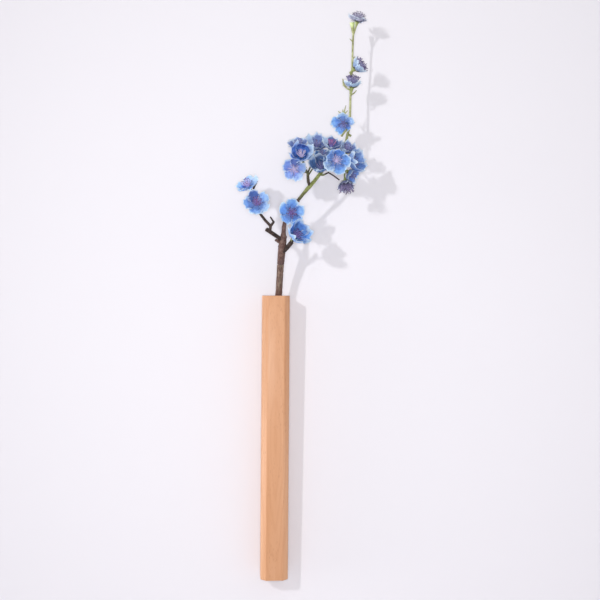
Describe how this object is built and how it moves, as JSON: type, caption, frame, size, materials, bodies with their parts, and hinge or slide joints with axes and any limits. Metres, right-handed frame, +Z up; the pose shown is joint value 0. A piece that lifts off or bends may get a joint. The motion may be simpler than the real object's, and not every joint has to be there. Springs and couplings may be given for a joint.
{
  "type": "wall vase",
  "caption": "Slim chamfered beech wall vase with a glass tube inside, hung by a keyhole plate, holding a blue artificial blossom spray that lifts out.",
  "frame": {"origin": "middle of the flat back face of the wooden body, on the wall", "axes": "+Z up, +Y into the wall so that the front faces -Y, +X to the right seen from the front"},
  "size_m": [0.1387, 0.0665, 0.6006],
  "materials": {
    "beech": "oiled beech, straight grain",
    "glass": "clear test tube glass",
    "steel": "zinc plated",
    "bark": "moulded brown bark",
    "dark_bark": "moulded dark bark",
    "green_stem": "moulded olive green",
    "petal": "dyed polyester fabric",
    "stamen": "moulded mauve"
  },
  "bodies": {
    "vase": {"wood_body": "beech", "hanger_plate": "steel", "hanger_screw_upper": "steel", "hanger_screw_lower": "steel"},
    "tube": {"water_tube": "glass"},
    "spray": {"lower_stem": "bark", "fork_stem": "bark", "left_twig": "dark_bark", "right_twig": "dark_bark", "main_branch": "green_stem", "bare_twig": "dark_bark", "cluster_twig": "dark_bark", "side_twig": "green_stem", "top_branch": "green_stem", "petals_tip": "petal", "stamens_tip": "stamen", "petals_upper_right": "petal", "stamens_upper_right": "stamen", "petals_upper_front": "petal", "stamens_upper_front": "stamen", "petals_upper_left": "petal", "stamens_upper_left": "stamen", "petals_cluster_left": "petal", "stamens_cluster_left": "stamen", "petals_cluster_far_left": "petal", "stamens_cluster_far_left": "stamen", "petals_cluster_low_left": "petal", "stamens_cluster_low_left": "stamen", "petals_cluster_back": "petal", "stamens_cluster_back": "stamen", "petals_cluster_inner": "petal", "stamens_cluster_inner": "stamen", "petals_cluster_top": "petal", "stamens_cluster_top": "stamen", "petals_cluster_far_right": "petal", "stamens_cluster_far_right": "stamen", "petals_cluster_front": "petal", "stamens_cluster_front": "stamen", "petals_cluster_middle": "petal", "stamens_cluster_middle": "stamen", "petals_cluster_right": "petal", "stamens_cluster_right": "stamen", "petals_cluster_low_right": "petal", "stamens_cluster_low_right": "stamen", "petals_cluster_low": "petal", "stamens_cluster_low": "stamen", "petals_left_high": "petal", "stamens_left_high": "stamen", "petals_left_low": "petal", "stamens_left_low": "stamen", "petals_middle_high": "petal", "stamens_middle_high": "stamen", "petals_middle_low": "petal", "stamens_middle_low": "stamen"}
  },
  "joints": [
    {"name": "tube_lift", "type": "slide", "parent": "vase", "child": "tube", "axis": [0, 0, 1], "range_m": [0, 0.152]},
    {"name": "spray_lift", "type": "slide", "parent": "tube", "child": "spray", "axis": [0, 0, 1], "range_m": [0, 0.148]}
  ]
}
